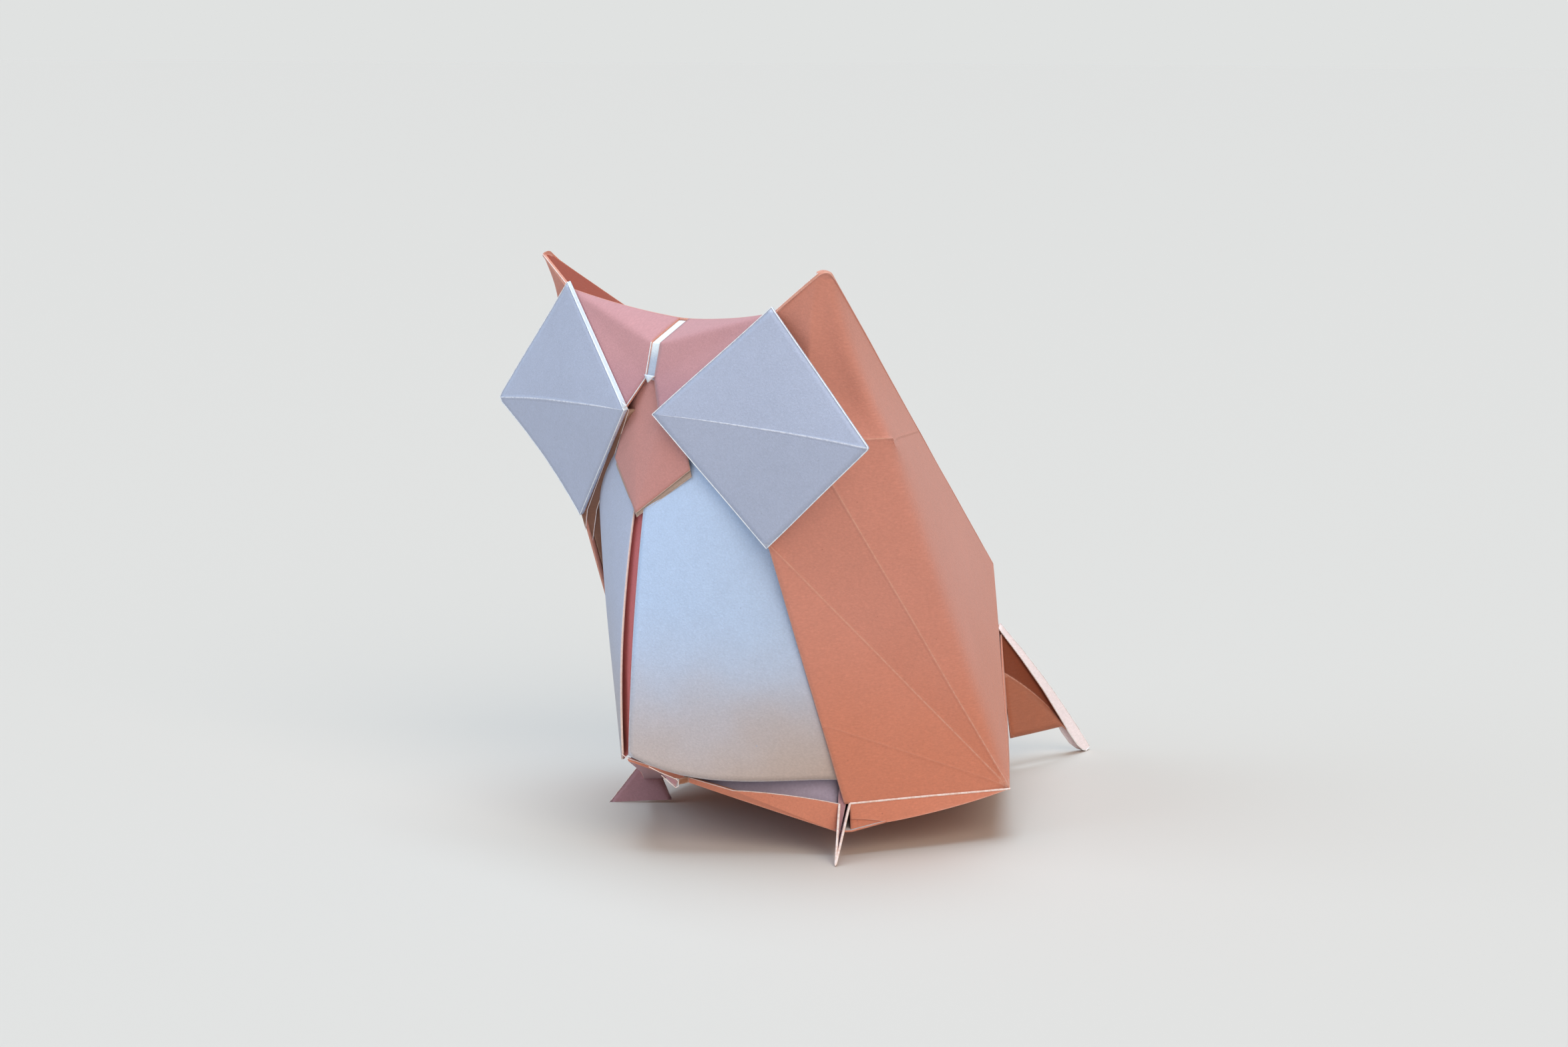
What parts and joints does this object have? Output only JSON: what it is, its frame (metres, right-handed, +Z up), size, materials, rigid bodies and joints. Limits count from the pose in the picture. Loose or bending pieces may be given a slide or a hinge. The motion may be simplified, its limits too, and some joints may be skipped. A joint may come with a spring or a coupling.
{
  "type": "origami owl",
  "caption": "Sitting owl folded from one square of two-coloured paper, with white eye flaps, a bowed white belly, pointed ears, pinched feet and a tail.",
  "frame": {"origin": "centre of the box round the owl, on the surface that it stands on", "axes": "+Z up, -Y the way the owl faces, +X the owl's left side"},
  "size_m": [0.0556, 0.0694, 0.0587],
  "materials": {
    "paper": "matte, salmon outside and white inside"
  },
  "bodies": {
    "root": {"folded_sheet": "paper"}
  },
  "joints": []
}
